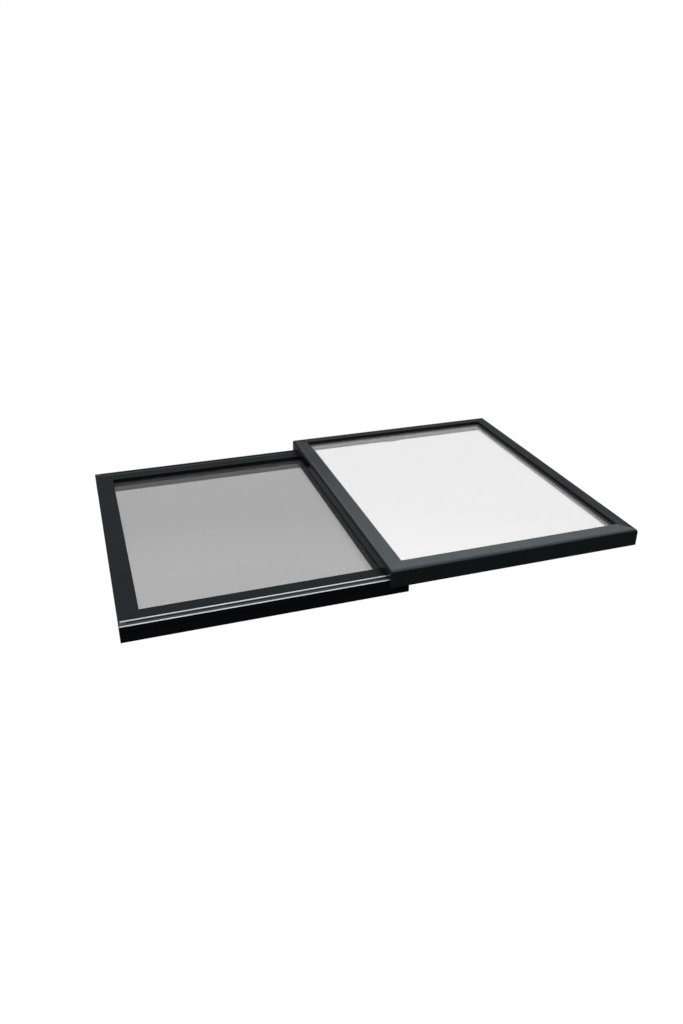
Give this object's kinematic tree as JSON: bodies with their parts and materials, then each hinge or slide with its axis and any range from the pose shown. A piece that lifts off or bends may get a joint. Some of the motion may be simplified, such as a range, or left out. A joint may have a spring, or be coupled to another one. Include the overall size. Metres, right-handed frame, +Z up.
{
  "type": "sliding rooflight",
  "caption": "Flat glazed frame that bolts to a kerb, with a black aluminium glazed sash that slides over the fixed pane on wheels.",
  "frame": {"origin": "middle of the fixed frame's footprint, on its underside, which is the centre of the kerb bolts", "axes": "+X along the slide towards the closed sash, +Y across the slide, +Z up out of the roof"},
  "size_m": [1.54, 1.028, 0.0888],
  "materials": {
    "base_frame": "satin black powder coat",
    "sash_frame": "satin black powder coat",
    "cleat": "mill",
    "steel": "satin stainless",
    "gasket": "matt black",
    "spacer": "matt black",
    "black_plastic": "moulded matt black",
    "wheel": "natural nylon",
    "fixed_glass": "clear, solar coated",
    "sash_glass": "clear",
    "brush": "black pile"
  },
  "bodies": {
    "root": {"base_rail_front": "base_frame", "base_rail_rear": "base_frame", "base_end_left": "base_frame", "base_end_right": "base_frame", "end_cleats": "cleat", "cleat_screws": "steel", "rail_caps": "black_plastic", "kerb_gasket": "gasket", "rivet_nuts": "steel", "fixed_outer_gasket": "gasket", "fixed_outer_pane": "fixed_glass", "fixed_spacer": "spacer", "fixed_edge_seal": "spacer", "fixed_inner_pane": "fixed_glass", "fixed_inner_gasket": "gasket", "fixed_rail_beads": "base_frame", "fixed_end_beads": "base_frame", "fixed_setting_blocks": "gasket", "open_stops": "black_plastic", "open_buffers": "gasket", "closed_buffers": "gasket", "roller_cradles": "black_plastic", "roller_axles": "steel"},
    "sash": {"sash_front": "sash_frame", "sash_rear": "sash_frame", "sash_left": "sash_frame", "sash_right": "sash_frame", "sash_corner_cleats": "cleat", "sash_outer_gasket": "gasket", "sash_outer_pane": "sash_glass", "sash_spacer": "spacer", "sash_edge_seal": "spacer", "sash_inner_pane": "sash_glass", "sash_inner_gasket": "gasket", "sash_side_beads": "sash_frame", "sash_end_beads": "sash_frame", "sash_setting_blocks": "gasket", "wheel_blocks": "black_plastic", "wheel_axles": "steel", "sash_runners": "steel", "anti_lift_clips": "black_plastic", "clip_screws": "steel", "brush_seals": "brush", "wiper_seal": "gasket"},
    "track_wheel_front": {"track_wheel_front": "wheel"},
    "track_wheel_rear": {"track_wheel_rear": "wheel"},
    "support_roller_front": {"support_roller_front": "wheel"},
    "support_roller_rear": {"support_roller_rear": "wheel"}
  },
  "joints": [
    {"name": "sash_slide", "type": "slide", "parent": "root", "child": "sash", "axis": [1, 0, 0], "range_m": [-0.725, 0]},
    {"name": "track_wheel_front_spin", "type": "hinge", "parent": "sash", "child": "track_wheel_front", "pos_m": [0.36, -0.487, 0.058], "axis": [0, 1, 0], "range_deg": [-3900, 0]},
    {"name": "track_wheel_rear_spin", "type": "hinge", "parent": "sash", "child": "track_wheel_rear", "pos_m": [0.36, 0.487, 0.058], "axis": [0, 1, 0], "range_deg": [-3900, 0]},
    {"name": "support_roller_front_spin", "type": "hinge", "parent": "root", "child": "support_roller_front", "pos_m": [0.38725, -0.487, 0.046], "axis": [0, 1, 0], "range_deg": [-4210, 0]},
    {"name": "support_roller_rear_spin", "type": "hinge", "parent": "root", "child": "support_roller_rear", "pos_m": [0.38725, 0.487, 0.046], "axis": [0, 1, 0], "range_deg": [-4210, 0]}
  ],
  "couplings": [
    {"joint": "track_wheel_front_spin", "follows": "sash_slide", "rad_per_m": 93.458},
    {"joint": "track_wheel_rear_spin", "follows": "sash_slide", "rad_per_m": 93.458},
    {"joint": "support_roller_front_spin", "follows": "sash_slide", "rad_per_m": 101.01},
    {"joint": "support_roller_rear_spin", "follows": "sash_slide", "rad_per_m": 101.01}
  ]
}
